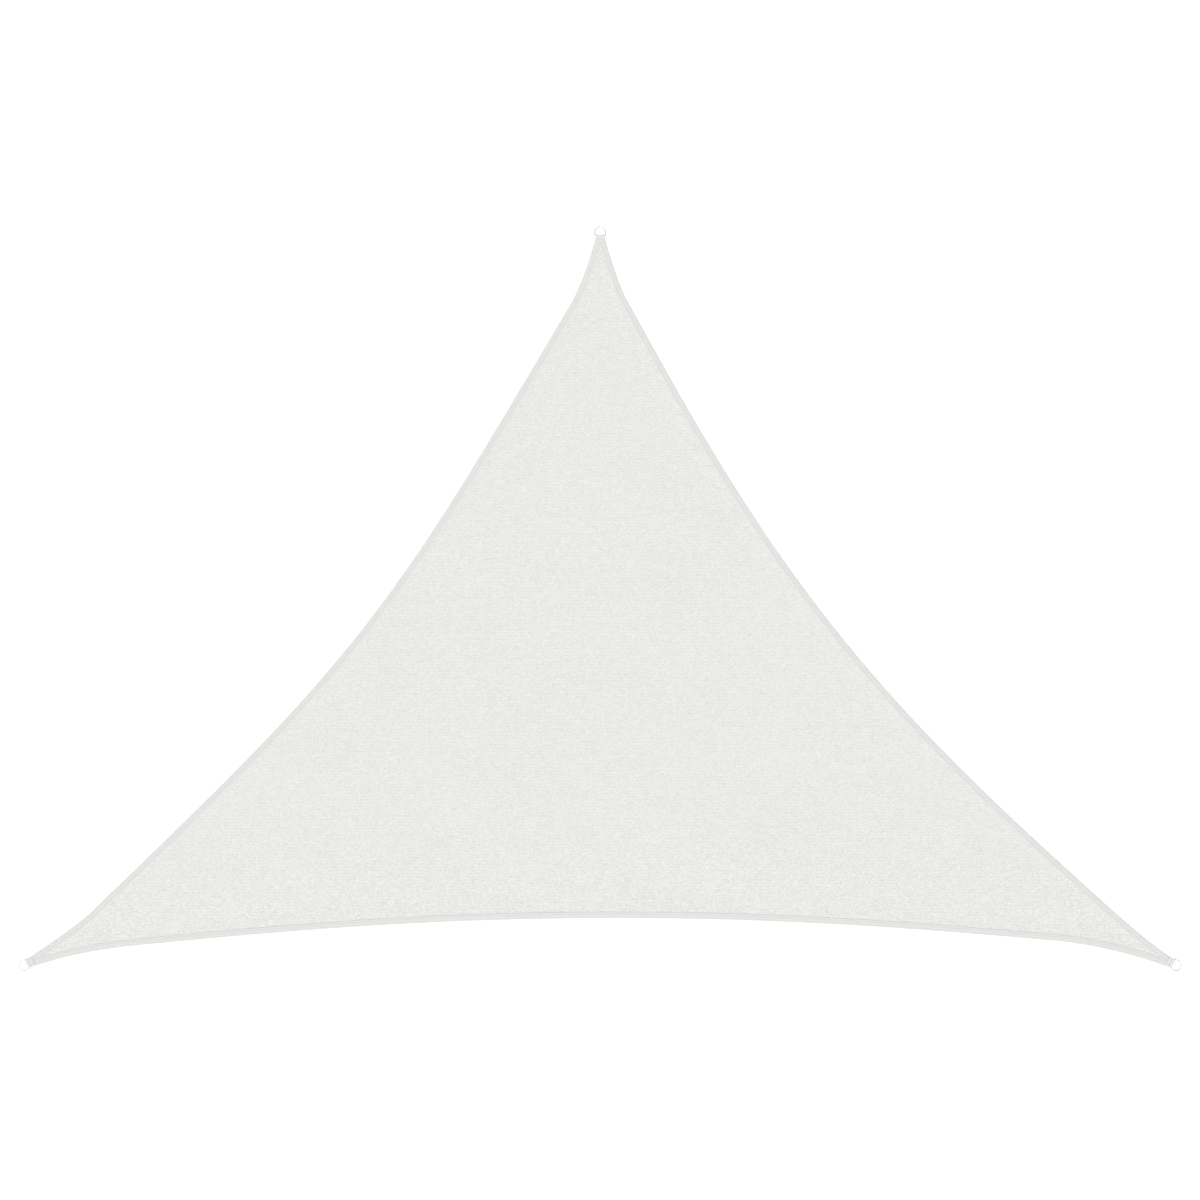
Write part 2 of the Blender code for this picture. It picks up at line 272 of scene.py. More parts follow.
# ---------------------------------------------------------------- the sail's layout
class Layers(NamedTuple):
    """Heights of the layers, worked out from the sizes."""

    cloth_on_tape: float  # underside of the cloth above the underside of the tape
    tape_height: float  # over the folded tape's outside
    tab_lift: float  # the corner's layers lie on the webbing's lower leg
    bar_height: float
    ring_radius: float  # of the bow's centre line
    ring_tilt: float  # so that the bow rests


class Corner(NamedTuple):
    """Where a ring lies, and which way it is pulled."""

    bar: Vector  # middle of the ring's bar
    pull: Vector  # direction in which the ring is pulled


class Station(NamedTuple):
    """One cross-section place along an edge."""

    point: Vector  # on the sail's outline
    normal: Vector  # inwards
    room: float  # along the normal, up to the corner's axis
    lift: float  # of the layers, over the webbing
    from_tip: float
    along: float  # running length of the edge
    corner: int  # which end of the edge is nearer


def layers_of(sizes):
    layer = sizes.tape_thickness + GAP
    bar_height = sizes.webbing_thickness + BAR_CLEARANCE + sizes.wire_radius
    ring_radius = sizes.ring_width / 2 - sizes.wire_radius
    return Layers(
        cloth_on_tape=layer,
        tape_height=2 * layer + sizes.cloth_thickness,
        tab_lift=sizes.webbing_thickness + GAP,
        bar_height=bar_height,
        ring_radius=ring_radius,
        ring_tilt=math.asin((bar_height - sizes.wire_radius) / (sizes.ring_leg + ring_radius)),
    )


def corner_places(sizes):
    """Each corner's bar, placed so that the rings' outer ends lie on the overall sizes."""
    bow_x = (sizes.overall_width - sizes.ring_width) / 2
    bow_y = (sizes.overall_depth - sizes.ring_width) / 2
    across = math.cos(sizes.pull_angle)
    down = -math.sin(sizes.pull_angle)
    bows = {
        "top": (Vector((0.0, bow_y)), Vector((0.0, 1.0))),
        "left": (Vector((-bow_x, -bow_y)), Vector((-across, down))),
        "right": (Vector((bow_x, -bow_y)), Vector((across, down))),
    }
    return {name: Corner(bow - sizes.ring_leg * pull, pull) for name, (bow, pull) in bows.items()}


def smooth(t):
    """Ease from 0 to 1."""
    t = min(1.0, max(0.0, t))
    return t * t * (3 - 2 * t)


def flare_depth(distance, reach, depth, roundness, slope):
    """The depth within a flare, which meets the long curve at the same slope."""
    left_to_go = max(0.0, 1 - distance / reach)
    return slope * distance + (depth - slope * reach) * (1 - left_to_go**roundness)


def edge_depth(edge, distance, whole):
    """How far the edge lies inside its straight line, at a distance along that line."""
    (reach_a, depth_a, round_a), (reach_b, depth_b, round_b) = edge["flares"]
    run = whole - reach_a - reach_b
    swell = edge["belly"] - (depth_a + depth_b) / 2 + edge["fullness"]
    entry = math.pi * (swell + 3 * edge["fullness"])  # how fast the waves deepen at their ends
    if distance < reach_a:
        slope = (depth_b - depth_a + entry) / run
        return flare_depth(distance, reach_a, depth_a, round_a, slope)
    if distance > whole - reach_b:
        slope = (depth_a - depth_b + entry) / run
        return flare_depth(whole - distance, reach_b, depth_b, round_b, slope)
    t = (distance - reach_a) / run
    waves = swell * math.sin(math.pi * t) + edge["fullness"] * math.sin(3 * math.pi * t)
    return depth_a + (depth_b - depth_a) * t + waves


def station_distances(whole):
    """Distances along an edge, close together towards both of its ends."""
    shares = [(i / CORNER_STATIONS) ** CORNER_CROWDING for i in range(CORNER_STATIONS + 1)]
    near = [CORNER_REACH * share for share in shares]
    run = whole - 2 * CORNER_REACH
    steps = round(run / STATION_STEP)
    middle = [CORNER_REACH + run * i / steps for i in range(1, steps)]
    return near + middle + [whole - distance for distance in reversed(near)]


def edge_stations(edge, sizes):
    """The cross-section places along one edge, from its first corner to its second."""
    corners = corner_places(sizes)
    layers = layers_of(sizes)
    ends = [corners[name] for name in edge["corners"]]
    tips = [end.bar - TIP_SETBACK * end.pull for end in ends]
    across = []
    for tip, other, end in zip(tips, reversed(tips), ends):
        side = Vector((-end.pull.y, end.pull.x))
        if side.dot(other - tip) < 0:
            side.negate()
        across.append(side)
    first, last = (tip + TIP_HALF_WIDTH * side for tip, side in zip(tips, across))
    chord = (last - first).normalized()
    whole = (last - first).length
    inward = Vector((-chord.y, chord.x))
    if inward.dot(ends[0].pull) > 0:
        inward.negate()

    def place(distance):
        return first + distance * chord + edge_depth(edge, distance, whole) * inward

    stations = []
    along = 0.0
    for distance in station_distances(whole):
        low = max(0.0, distance - TANGENT_STEP)
        high = min(whole, distance + TANGENT_STEP)
        tangent = (place(high) - place(low)).normalized()
        normal = Vector((-tangent.y, tangent.x))
        if normal.dot(inward) < 0:
            normal.negate()
        nearest = 0 if distance < whole / 2 else 1
        from_tip = distance if nearest == 0 else whole - distance
        turn = smooth(from_tip / SQUARE_REACH)
        normal = ((1 - turn) * -across[nearest] + turn * normal).normalized()
        point = place(distance)
        room = (point - tips[nearest]).dot(across[nearest]) / -normal.dot(across[nearest])
        past_tab = from_tip - sizes.webbing_leg - TAB_MARGIN
        lift = layers.tab_lift * (1 - smooth(past_tab / TAB_SLOPE))
        if stations:
            along += (point - stations[-1].point).length
        stations.append(Station(point, normal, room, lift, from_tip, along, nearest))
    return stations


# ---------------------------------------------------------------- helpers for making pieces
def choose(*objects):
    """Select only these objects, with the last one active."""
    bpy.ops.object.select_all(action="DESELECT")
    for each in objects:
        each.select_set(True)
    bpy.context.view_layer.objects.active = objects[-1]


def link(name, data):
    made = bpy.data.objects.new(name, data)
    bpy.context.scene.collection.objects.link(made)
    return made


def apply_modifiers(piece):
    choose(piece)
    for modifier in list(piece.modifiers):
        bpy.ops.object.modifier_apply(modifier=modifier.name)


def copy_of(model, name):
    """A copy of a model, with its own mesh."""
    made = link(name, model.data.copy())
    made.data.name = name
    made.matrix_world = model.matrix_world
    return made


def discard(thing):
    data = thing.data
    bpy.data.objects.remove(thing, do_unlink=True)
    if data.users == 0:
        bpy.data.batch_remove([data])


def join(name, parts):
    """Several parts as one piece."""
    choose(*parts)
    bpy.ops.object.join()
    made = bpy.context.view_layer.objects.active
    made.name = name
    made.data.name = name
    return made


def place_at_corner(piece, corner):
    """Carry a piece that is modelled at the origin, along +X, to its corner."""
    angle = math.atan2(corner.pull.y, corner.pull.x)
    turned = Matrix.Rotation(angle, 4, "Z")
    piece.matrix_world = Matrix.Translation((*corner.bar, 0.0)) @ turned @ piece.matrix_world
    choose(piece)
    bpy.ops.object.transform_apply(location=True, rotation=True, scale=True)


def finish_piece(piece, material, smooth_angle=SMOOTH_ANGLE):
    """Give a piece its finish, shading and place on the part's one body."""
    piece.data.materials.clear()
    piece.data.materials.append(material)
    choose(piece)
    bpy.ops.object.shade_smooth_by_angle(angle=smooth_angle)
    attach(piece, "root")


def strip_mesh(name, rows, lengths, widths):
    """A band from rows of points across it, with a map in metres along and across it."""
    surface = bmesh.new()
    weave = surface.loops.layers.uv.new("weave")
    grid = [[surface.verts.new(point) for point in row] for row in rows]
    for i in range(len(grid) - 1):
        for j in range(len(grid[0]) - 1):
            spots = ((i, j), (i, j + 1), (i + 1, j + 1), (i + 1, j))
            face = surface.faces.new([grid[a][b] for a, b in spots])
            for loop, (a, b) in zip(face.loops, spots):
                loop[weave].uv = (lengths[a], widths[b])
    bmesh.ops.recalc_face_normals(surface, faces=surface.faces)
    mesh = bpy.data.meshes.new(name)
    surface.to_mesh(mesh)
    surface.free()
    return mesh


def thicken(piece, thickness, offset, rounding=0.0, even=True):
    """Give an open surface its thickness and, where asked, rounded edges."""
    solid = piece.modifiers.new("thickness", "SOLIDIFY")
    solid.thickness = thickness
    solid.offset = offset
    solid.use_even_offset = even
    if rounding:
        bevel = piece.modifiers.new("rounding", "BEVEL")
        bevel.width = rounding
        bevel.segments = 2
        bevel.limit_method = "ANGLE"
        bevel.angle_limit = SMOOTH_ANGLE
    apply_modifiers(piece)


def repeat(piece, count, step):
    """Have a piece's mesh repeated, each time a step further on."""
    repeats = piece.modifiers.new("repeats", "ARRAY")
    repeats.use_relative_offset = False
    repeats.use_constant_offset = True
    repeats.constant_offset_displace = step
    repeats.count = count


# ---------------------------------------------------------------- helpers for finishes
class Nodes:
    """Short ways of adding to a tree of nodes."""

    def __init__(self, tree):
        self.tree = tree

    def node(self, kind, **inputs):
        """A node with its inputs given as numbers or as other nodes' outputs."""
        made = self.tree.nodes.new(kind)
        for name, value in inputs.items():
            self.feed(made.inputs[name.replace("_", " ")], value)
        return made

    def feed(self, socket, value):
        if isinstance(value, bpy.types.NodeSocket):
            self.tree.links.new(value, socket)
        else:
            socket.default_value = value

    def math(self, operation, *values):
        made = self.tree.nodes.new("ShaderNodeMath")
        made.operation = operation
        for socket, value in zip(made.inputs, values):
            self.feed(socket, value)
        return made.outputs[0]


class Finish(Nodes):
    """A material, with patterns and ways of putting them to use."""

    def __init__(self, name, roughness, metallic=0.0, sheen=0.0):
        self.material = bpy.data.materials.new(name)
        self.material.use_nodes = True
        super().__init__(self.material.node_tree)
        self.shader = self.tree.nodes["Principled BSDF"]
        self.shader.inputs["Roughness"].default_value = roughness
        self.shader.inputs["Metallic"].default_value = metallic
        self.shader.inputs["Sheen Weight"].default_value = sheen

    def wave(self, place, pitch, start=0.0):
        """A wave from 0 to 1 and back, along a coordinate."""
        turns = self.math("MULTIPLY_ADD", place, TURN / pitch, start)
        return self.math("MULTIPLY_ADD", self.math("COSINE", turns), 0.5, 0.5)

    def ramp(self, value, start, stop, low=0.0, high=1.0):
        """A value turned evenly from one span to another, and held at its ends."""
        made = self.node(
            "ShaderNodeMapRange", Value=value, From_Min=start, From_Max=stop, To_Min=low, To_Max=high
        )
        return made.outputs[0]

    def noise(self, vector, scale, detail=2.0):
        made = self.node("ShaderNodeTexNoise", Vector=vector, Scale=scale, Detail=detail)
        return made.outputs[0]

    def stretched(self, vector, factors):
        """A coordinate multiplied by three factors."""
        made = self.tree.nodes.new("ShaderNodeVectorMath")
        made.operation = "MULTIPLY"
        self.feed(made.inputs[0], vector)
        made.inputs[1].default_value = factors
        return made.outputs[0]

    def split(self, vector):
        return self.node("ShaderNodeSeparateXYZ", Vector=vector).outputs[:2]

    def own_coordinates(self):
        return self.node("ShaderNodeTexCoord").outputs["Object"]

    def weave_map(self):
        made = self.node("ShaderNodeUVMap")
        made.uv_map = "weave"
        return made.outputs[0]

    def varied(self, value, *parts):
        """A value to which patterns are added, each times its share."""
        for pattern, share in parts:
            value = self.math("MULTIPLY_ADD", pattern, share, value)
        return value

    def tint(self, base, tone):
        """The base colour, made lighter or darker by a tone around 1."""
        made = self.tree.nodes.new("ShaderNodeVectorMath")
        made.operation = "SCALE"
        made.inputs[0].default_value = base
        self.feed(made.inputs["Scale"], tone)
        self.feed(self.shader.inputs["Base Color"], made.outputs[0])

    def roughen(self, pattern, smoothest, roughest):
        span = self.math("MULTIPLY_ADD", pattern, roughest - smoothest, smoothest)
        self.feed(self.shader.inputs["Roughness"], span)

    def emboss(self, height, depth, strength=1.0):
        """Raise a height pattern of 0 to 1 by a depth in metres."""
        made = self.node("ShaderNodeBump", Height=height, Distance=depth, Strength=strength)
        self.feed(self.shader.inputs["Normal"], made.outputs[0])


def yarn_tones(finish, look, x, y):
    """Lighter and darker stretches of yarn, each some chains long and one course high."""
    scale = 100.0  # brings the stretches' sizes within the range of their inputs
    made = finish.node(
        "ShaderNodeTexBrick",
        Vector=finish.node("ShaderNodeCombineXYZ", X=x, Y=y).outputs[0],
        Color1=WHITE,
        Color2=(0.0, 0.0, 0.0, 1.0),
        Mortar=(0.5, 0.5, 0.5, 1.0),
        Scale=scale,
        Mortar_Size=0.0,
        Brick_Width=scale * look.dash_wales * look.wale_pitch,
        Row_Height=scale * look.course_pitch,
    )
    made.offset = 1 / look.dash_wales
    return made.outputs["Color"]


def knit_finish(look):
    """Upright chains of loops, and between them flat yarns that run to and fro with slits above them."""
    finish = Finish("knitted_cloth", 0.75, sheen=0.15)
    wale = look.wale_pitch
    course = look.course_pitch
    half_chain = 0.29 * wale
    loop_slope = 1.3
    zigzag = 0.45 * course
    place = finish.own_coordinates()
    x, y = finish.split(place)
    # Every loop sits a little off its place.
    x = finish.varied(x, (finish.noise(place, 55.0), 1.6 * MM))
    y = finish.varied(y, (finish.noise(finish.stretched(place, (-1.0, 1.0, 1.0)), 70.0), 1.3 * MM))

    # The chains are rounded, and their loops slant down to both sides.
    aside = finish.math("PINGPONG", x, wale / 2)
    share = finish.math("DIVIDE", aside, half_chain)
    fall = finish.math("SUBTRACT", 1.0, finish.math("POWER", share, 2.0))
    rounded = finish.math("SQRT", finish.math("MAXIMUM", fall, 0.0))
    loop_place = finish.math("MULTIPLY_ADD", aside, -loop_slope, y)
    loop = finish.math("POWER", finish.wave(loop_place, course, math.pi), 0.7)
    chain = finish.math("MULTIPLY", rounded, finish.varied(0.5, (loop, 0.5)))
    on_chain = finish.ramp(share, 1.08, 0.92)

    # The yarns between them zigzag from one chain to the next.
    slant = finish.math("PINGPONG", x, wale)
    yarn_place = finish.math("MULTIPLY_ADD", slant, zigzag / wale, y)
    yarn = finish.ramp(finish.wave(yarn_place, course, math.pi), 0.10, 0.60)
    height = finish.math("MAXIMUM", chain, finish.math("MULTIPLY", yarn, 0.5))

    # Lighter and darker dashes follow the yarns and loops, and stand out more near the long side.
    yarn_tone = yarn_tones(finish, look, x, yarn_place)
    loop_tone = yarn_tones(finish, look, finish.math("ADD", x, wale / 2), loop_place)
    difference = finish.math("SUBTRACT", loop_tone, yarn_tone)
    tones = finish.math("MULTIPLY_ADD", difference, on_chain, yarn_tone)
    tones = finish.math("SUBTRACT", tones, 0.5)
    tighter = finish.ramp(y, -0.90, -1.35, 1.0, 1.35)

    band = finish.wave(y, 5 * course)
    patches = finish.noise(finish.stretched(place, (1.0, 2.2, 1.0)), 1.7)
    fibres = finish.noise(finish.stretched(place, (2600.0, 900.0, 1.0)), 1.0)
    # Painted shade: the cloth is lighter on the chains and yarns, and darker in the hollows and slits
    # between them.
    tone = finish.varied(
        0.825,
        (height, 0.10),
        (yarn, 0.08),
        (finish.math("MULTIPLY", tones, tighter), look.grain),
        (band, 0.035),
        (patches, 0.03),
        (fibres, 0.04),
    )
    finish.tint(look.cloth_colour, tone)
    finish.roughen(height, 0.85, 0.62)
    finish.emboss(height, 0.45 * MM, 0.8)
    return finish.material


def tape_finish(look, sizes):
    """A plain woven tape, with painted shade in its weave's hollows and in its inner seam's trough."""
    finish = Finish("woven_edge_tape", 0.7, sheen=0.10)
    weft = 1.5 * MM
    warp = 1.3 * MM
    place = finish.weave_map()
    along, across = finish.split(place)
    floats = [
        finish.math("MULTIPLY", finish.wave(along, weft, start), finish.wave(across, warp, start))
        for start in (0.0, math.pi)
    ]
    weave = finish.math("MAXIMUM", *floats)
    slubs = finish.noise(finish.stretched(place, (60.0, 700.0, 1.0)), 1.0)
    # Painted shade: the tape is darker within a few millimetres of its inner seam, where the seam draws
    # it down into a trough.
    from_seam = finish.math("ABSOLUTE", finish.math("SUBTRACT", across, sizes.inner_seam))
    clear = finish.ramp(from_seam, 1.0 * MM, 4.5 * MM)
    # Painted shade: lighter on the weave's floats, darker in the hollows between them.
    tone = finish.varied(0.90, (weave, 0.07), (slubs, 0.04), (clear, 0.025))
    finish.tint(look.tape_colour, tone)
    finish.roughen(weave, 0.82, 0.62)
    finish.emboss(weave, 0.25 * MM, 0.8)
    return finish.material


def webbing_finish(look):
    """Close ribs along the webbing, each with its own row of short weft floats."""
    finish = Finish("ribbed_webbing", 0.7, sheen=0.10)
    place = finish.weave_map()
    along, across = finish.split(place)
    rib_pitch = 2.3 * MM
    float_pitch = 2.0 * MM
    rib = finish.wave(across, rib_pitch)
    shifted = finish.math("FLOOR", finish.math("DIVIDE", across, rib_pitch))
    along = finish.math("MULTIPLY_ADD", shifted, float_pitch / 2, along)
    floats = finish.wave(along, float_pitch)
    weave = finish.math("MULTIPLY", finish.math("POWER", rib, 0.5), finish.varied(0.5, (floats, 0.5)))
    slubs = finish.noise(finish.stretched(place, (90.0, 600.0, 1.0)), 1.0)
    # Painted shade: lighter on the ribs and floats, darker in the hollows between them.
    finish.tint(look.webbing_colour, finish.varied(0.86, (weave, 0.13), (slubs, 0.04)))
    finish.roughen(weave, 0.80, 0.60)
    finish.emboss(weave, 0.35 * MM, 0.9)
    return finish.material


def thread_finish(look):
    """Twisted thread with a faint gloss."""
    finish = Finish("sewing_thread", 0.55, sheen=0.10)
    place = finish.own_coordinates()
    strands = finish.noise(place, 2500.0)
    finish.tint(look.thread_colour, finish.varied(0.90, (strands, 0.16)))
    finish.roughen(strands, 0.45, 0.65)
    finish.emboss(strands, 0.15 * MM, 0.6)
    return finish.material


def steel_finish(look):
    """Polished stainless steel with fine rubbing marks."""
    finish = Finish("polished_steel", 0.2, metallic=1.0)
    place = finish.own_coordinates()
    marks = finish.noise(finish.stretched(place, (1.0, 1.0, 3.0)), 900.0, 4.0)
    clouds = finish.noise(place, 120.0)
    finish.tint(look.steel_colour, finish.varied(0.96, (clouds, 0.06)))
    finish.roughen(finish.varied(0.0, (marks, 0.6), (clouds, 0.4)), 0.24, 0.42)
    finish.emboss(marks, 0.02 * MM, 0.5)
    return finish.material


# ---------------------------------------------------------------- the knitted sheet
def gather_height(station, depth, sizes):
    """Height of the small gathers that the seams draw into the cloth, at a depth inside the edge."""
    waves = [math.sin(TURN * station.along / pitch + start) for pitch, start in GATHERS]
    wave = 0.5 + 0.5 * sum(waves) / len(waves)
    swell = math.sin(TURN * station.along / GATHER_SWELL + station.point.x)
    uneven = 1 - GATHER_CHANGE + GATHER_CHANGE * swell
    rise = smooth(depth / GATHER_PEAK) * (1 - smooth((depth - GATHER_PEAK) / GATHER_FADE))
    clear_of_tab = smooth((station.from_tip - 2 * sizes.webbing_leg) / TAB_SLOPE)
    clear_of_axis = smooth((station.room - depth) / AXIS_MARGIN)
    return sizes.gather_height * wave * uneven * rise * clear_of_tab * clear_of_axis


def wave_height(point, depth, sizes):
    """Height of the soft waves and of the corners' tension rays, at a point of the sheet."""
    height = 0.0
    for pitch, degrees, start, share in SHEET_WAVES:
        angle = math.radians(degrees)
        run = point.x * math.cos(angle) + point.y * math.sin(angle)
        height += share * (0.5 + 0.5 * math.sin(TURN * run / pitch + start))
    for corner in corner_places(sizes).values():
        away = point.xy - corner.bar
        reach = away.length
        angle = math.atan2(away.y, away.x)
        ray = 0.5 + 0.5 * math.sin(angle * RAY_FREQUENCY + corner.bar.x)
        fade = smooth(reach / RAY_GROWTH) * math.exp(-((reach / RAY_REACH) ** 2))
        height += RAY_SHARE * ray * fade
    return sizes.wave_height * height * smooth((depth - WAVE_START) / WAVE_GROWTH)


def sheet_point(station, depth, sizes, layers):
    """A point of the cloth's underside: up on the tape's lower half, then down to the surface."""
    place = station.point + depth * station.normal
    fall = smooth((depth - sizes.tape_width - CLOTH_MARGIN) / CLOTH_LANDING)
    height = (layers.cloth_on_tape + station.lift) * (1 - fall)
    height += gather_height(station, depth, sizes)
    height += wave_height(place, depth, sizes)
    return Vector((*place, height))


def inner_points(stations, outline, sizes):
    """Points in offset rows inside the last row along the edges."""
    edge_points = [station.point for station in stations[::DEPTH_SAMPLING]]
    last_row = CLOTH_ROWS[-1]
    points = []
    rows = math.ceil(sizes.overall_depth / 2 / CLOTH_GRID)
    columns = math.ceil(sizes.overall_width / 2 / CLOTH_GRID)
    for j in range(-rows, rows + 1):
        y = j * CLOTH_GRID
        crossings = sorted(
            a.x + (y - a.y) / (b.y - a.y) * (b.x - a.x)
            for a, b in zip(outline, outline[1:] + outline[:1])
            if (a.y > y) != (b.y > y)
        )
        for i in range(-columns, columns + 1):
            x = (i + 0.5 * (j % 2)) * CLOTH_GRID
            if sum(crossing < x for crossing in crossings) % 2 == 0:
                continue
            place = Vector((x, y))
            depth = min((place - edge).length for edge in edge_points)
            if depth > last_row + CLOTH_GRID / 2:
                points.append(Vector((x, y, wave_height(place, depth, sizes))))
    return points


def sheet_mesh(sizes):
    """The underside of the sheet, as triangles between rows of points along the edges."""
    layers = layers_of(sizes)
    edges = {name: edge_stations(edge, sizes) for name, edge in EDGES.items()}
    loop = edges["left"] + edges["bottom"] + edges["right"][::-1]
    outline = [sheet_point(station, CLOTH_INSET, sizes, layers) for station in loop]
    points = list(outline)
    for depth in CLOTH_ROWS[1:]:
        points += [
            sheet_point(station, depth, sizes, layers)
            for station in loop
            if station.room > depth + ROW_MARGIN
        ]
    for name, corner in (("left", 0), ("left", 1), ("right", 1)):
        points += [
            sheet_point(station, station.room, sizes, layers)
            for station in edges[name]
            if station.corner == corner and station.room < CLOTH_ROWS[-1]
        ]
    points += inner_points(loop, outline, sizes)
    rim = [(i, (i + 1) % len(outline)) for i in range(len(outline))]
    flat = [point.xy for point in points]
    places, _, faces, origins, _, _ = delaunay_2d_cdt(flat, rim, [], 1, SAME_PLACE)
    verts = [(*place, points[origin[0]].z) for place, origin in zip(places, origins)]
    mesh = bpy.data.meshes.new("knitted_sheet")
    mesh.from_pydata(verts, [], [face if upward(face, verts) else face[::-1] for face in faces])
    return mesh


def upward(face, verts):
    a, b, c = (verts[i] for i in face[:3])
    return (b[0] - a[0]) * (c[1] - a[1]) > (b[1] - a[1]) * (c[0] - a[0])


class MakeCloth(bpy.types.Operator):
    """Make the knitted sheet, with its edges between the halves of the tape"""

    bl_idname = "sail.make_cloth"
    bl_label = "Knitted cloth"

    def execute(self, context):
        sizes = context.scene.sail_sizes
        cloth = link("knitted_sheet", sheet_mesh(sizes))
        thicken(cloth, sizes.cloth_thickness, 1.0, even=False)
        finish_piece(cloth, knit_finish(context.scene.sail_finish))
        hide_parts("sail_cloth")
        return {"FINISHED"}


# ---------------------------------------------------------------- the edge tapes
def pillow_height(depth, sizes):
    """How far the upper half of the tape stands up between its seams."""
    rows = (0.0, sizes.outer_seam, sizes.inner_seam, 2 * sizes.tape_width - sizes.inner_seam)
    for low, high in zip(rows, rows[1:]):
        if low <= depth <= high:
            span = (high - low) / (sizes.inner_seam - sizes.outer_seam)
            bulge = math.sin(math.pi * (depth - low) / (high - low))
            return sizes.pillow_height * min(1.0, span) * bulge
    return 0.0


def tape_profile(sizes, layers):
    """The folded tape's middle line: depth inside the edge, height, and whether it is the upper half."""
    half = sizes.tape_thickness / 2
    radius = layers.tape_height / 2 - half
    seams = [sizes.outer_seam, sizes.inner_seam]
    even = [sizes.tape_width * i / TAPE_STEPS for i in range(2, TAPE_STEPS + 1)]
    clear = [depth for depth in even if all(abs(depth - seam) > SEAM_MARGIN for seam in seams)]
    flat = sorted(seams + clear)
    upper = [
        (depth, layers.tape_height - half + pillow_height(depth, sizes), True)
        for depth in reversed(flat)
    ]
    fold = []
    for i in range(FOLD_STEPS + 1):
        angle = math.pi * i / FOLD_STEPS
        depth = half + radius * (1 - math.sin(angle))
        fold.append((depth, half + radius * (1 + math.cos(angle)), False))
    lower = [(depth, half, False) for depth in flat[::2] + flat[-1:]]
    return upper + fold + sorted(set(lower))


def narrowed(depth, station, sizes):
    """A depth within the tape, drawn in where the corner's axis cuts the tape short."""
    reach = min(sizes.tape_width, station.room - GAP / 2)
    if depth <= 2 * CLOTH_INSET:
        return depth
    share = (depth - 2 * CLOTH_INSET) / (sizes.tape_width - 2 * CLOTH_INSET)
    return 2 * CLOTH_INSET + share * (reach - 2 * CLOTH_INSET)


def tape_point(station, depth, height, upper, sizes):
    """A point of the tape: its upper half rides over the gathers, its lower half lies flat."""
    drawn = narrowed(depth, station, sizes)
    place = station.point + drawn * station.normal
    rise = gather_height(station, drawn, sizes) if upper else 0.0
    return Vector((*place, height + station.lift + rise))


def running(points):
    """Running length along a line of points."""
    lengths = [0.0]
    for a, b in zip(points, points[1:]):
        lengths.append(lengths[-1] + (Vector(b) - Vector(a)).length)
    return lengths


class MakeTapes(bpy.types.Operator):
    """Make the woven tape that is folded over each edge"""

    bl_idname = "sail.make_tapes"
    bl_label = "Edge tapes"

    def execute(self, context):
        sizes = context.scene.sail_sizes
        layers = layers_of(sizes)
        profile = tape_profile(sizes, layers)
        across = [depth for depth, _, _ in profile]
        material = tape_finish(context.scene.sail_finish, sizes)
        for name, edge in EDGES.items():
            stations = edge_stations(edge, sizes)
            rows = [
                [tape_point(station, *spot, sizes) for spot in profile] for station in stations
            ]
            along = [station.along for station in stations]
            tape = link(f"edge_tape_{name}", strip_mesh(f"edge_tape_{name}", rows, along, across))
            thicken(tape, sizes.tape_thickness, 0.0, rounding=TAPE_ROUNDING)
            finish_piece(tape, material, BAND_SMOOTH_ANGLE)
            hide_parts(f"binding_{name}")
        return {"FINISHED"}


# ---------------------------------------------------------------- sewing
def stitch_model(reach, radius):
    """One stitch along X: a short rod whose ends are drawn in towards the needle holes."""
    taper = min(STITCH_TAPER * radius, reach / 4)
    bpy.ops.object.select_all(action="DESELECT")
    bpy.ops.mesh.primitive_cylinder_add(
        vertices=STITCH_SIDES,
        radius=radius,
        depth=reach - 2 * taper,
        rotation=(0.0, math.pi / 2, 0.0),
    )
    stitch = bpy.context.object
    bpy.ops.object.transform_apply(location=True, rotation=True, scale=True)
    for end in (-1, 1):
        bpy.ops.object.mode_set(mode="EDIT")
        bpy.ops.mesh.select_mode(type="FACE")
        bpy.ops.mesh.select_all(action="DESELECT")
        bpy.ops.object.mode_set(mode="OBJECT")
        for face in stitch.data.polygons:
            face.select = face.normal.x * end > END_FACING
        bpy.ops.object.mode_set(mode="EDIT")
        bpy.ops.mesh.extrude_region_move(
            TRANSFORM_OT_translate={"value": (end * taper, 0.0, -STITCH_DIP * radius)}
        )
        bpy.ops.transform.resize(value=(1.0, STITCH_TIP, STITCH_TIP))
        bpy.ops.object.mode_set(mode="OBJECT")
    return stitch


def seam_curve(points):
    """A curve through points, with its up side kept upwards."""
    curve = bpy.data.curves.new("seam_line", "CURVE")
    curve.dimensions = "3D"
    curve.twist_mode = "Z_UP"
    spline = curve.splines.new("POLY")
    spline.points.add(len(points) - 1)
    for spot, point in zip(spline.points, points):
        spot.co = (*point, 1.0)
    return link("seam_line", curve)


def sew_row(model, points, pitch):
    """Repeat one stitch along a line of points, as one mesh."""
    line = seam_curve(points)
    row = copy_of(model, "seam_row")
    repeat(row, int(running(points)[-1] / pitch), (pitch, 0.0, 0.0))
    follow = row.modifiers.new("follow", "CURVE")
    follow.object = line
    apply_modifiers(row)
    discard(line)
    return row


